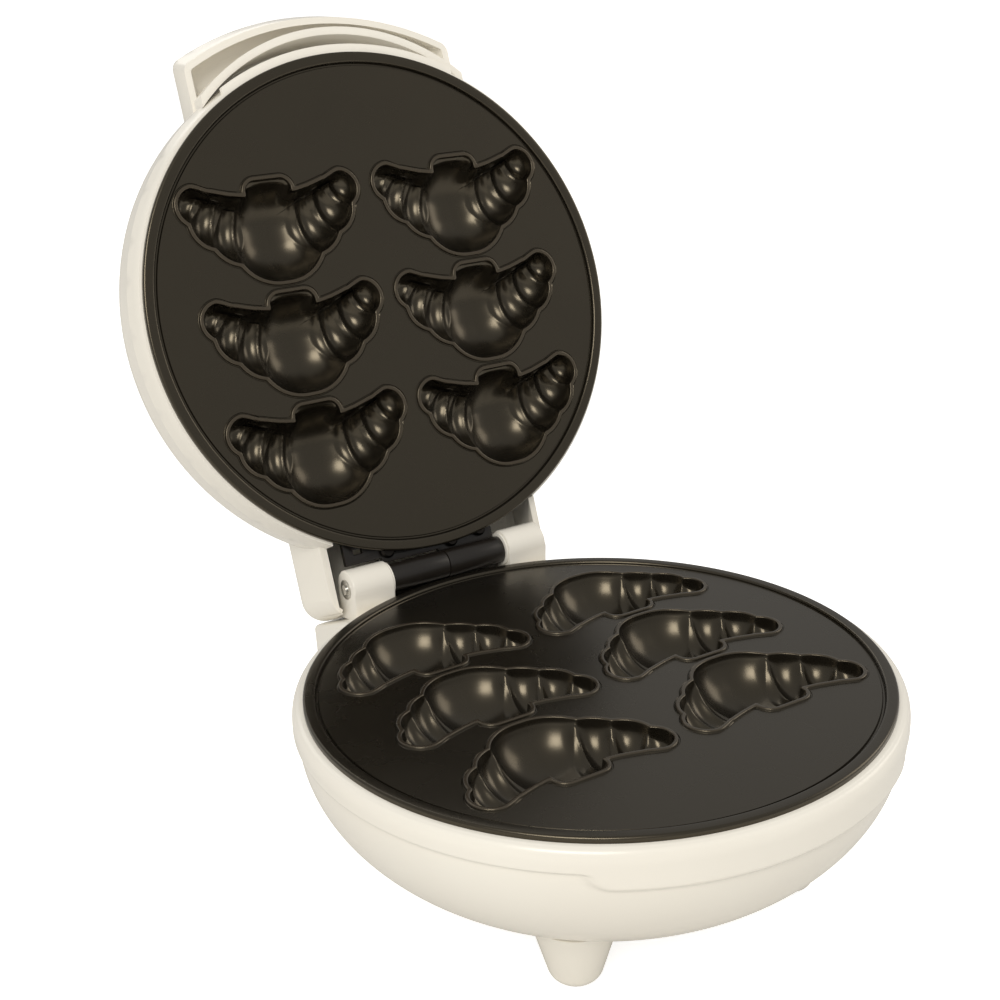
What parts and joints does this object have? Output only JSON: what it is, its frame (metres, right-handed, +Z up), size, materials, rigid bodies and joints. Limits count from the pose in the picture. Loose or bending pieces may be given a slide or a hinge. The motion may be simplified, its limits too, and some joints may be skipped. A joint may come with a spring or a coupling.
{
  "type": "croissant maker",
  "caption": "Round countertop croissant maker on tapered feet, its hinged lid open, with crescent moulds in both non-stick plates and a hollow front handle.",
  "frame": {"origin": "on the floor, under the centre of the box around the whole part with its lid open", "axes": "+X to the right seen from the front, +Y from the front towards the hinge, +Z up"},
  "size_m": [0.208, 0.3098, 0.2808],
  "materials": {
    "cream_plastic": "smooth gloss",
    "nonstick_black": "cast aluminium with a satin black non-stick coating",
    "black_plastic": "satin",
    "steel": "plated",
    "black_steel": "heat-darkened",
    "bright_aluminium": "pressed sheet",
    "black_rubber": "matt",
    "white_ceramic": "matt",
    "brown_phenolic": "moulded",
    "red_lens": "clear tinted",
    "green_lens": "clear tinted",
    "clear_glass": "clear"
  },
  "bodies": {
    "base": {"base_plate": "nonstick_black", "base_housing": "cream_plastic", "bottom_cover": "cream_plastic", "bottom_cover_screws": "steel", "foot_front_left": "cream_plastic", "foot_front_right": "cream_plastic", "foot_rear_left": "cream_plastic", "foot_rear_right": "cream_plastic", "foot_pads": "black_rubber", "foot_screws": "steel", "cord_gland": "black_rubber", "base_plate_screws": "steel", "base_heating_element": "black_steel", "base_reflector": "bright_aluminium", "base_reflector_screws": "steel", "thermostat": "brown_phenolic", "thermal_fuse": "steel", "terminal_block": "white_ceramic", "base_hinge_leaf": "black_plastic", "base_leaf_screws": "steel", "hinge_bushes": "cream_plastic", "hinge_pin": "steel", "pin_clips": "steel"},
    "lid": {"lid_plate": "nonstick_black", "lid_housing": "cream_plastic", "lid_plate_screws": "steel", "lid_heating_element": "black_steel", "lid_reflector": "bright_aluminium", "lid_reflector_screws": "steel", "lid_hinge_leaf": "black_plastic", "lid_leaf_screws": "steel", "power_lens": "red_lens", "ready_lens": "green_lens", "lamp_bulbs": "clear_glass"}
  },
  "joints": [
    {"name": "lid_hinge", "type": "hinge", "parent": "base", "child": "lid", "pos_m": [0, 0.05382, 0.0774], "axis": [1, 0, 0], "range_deg": [0, 110]}
  ]
}
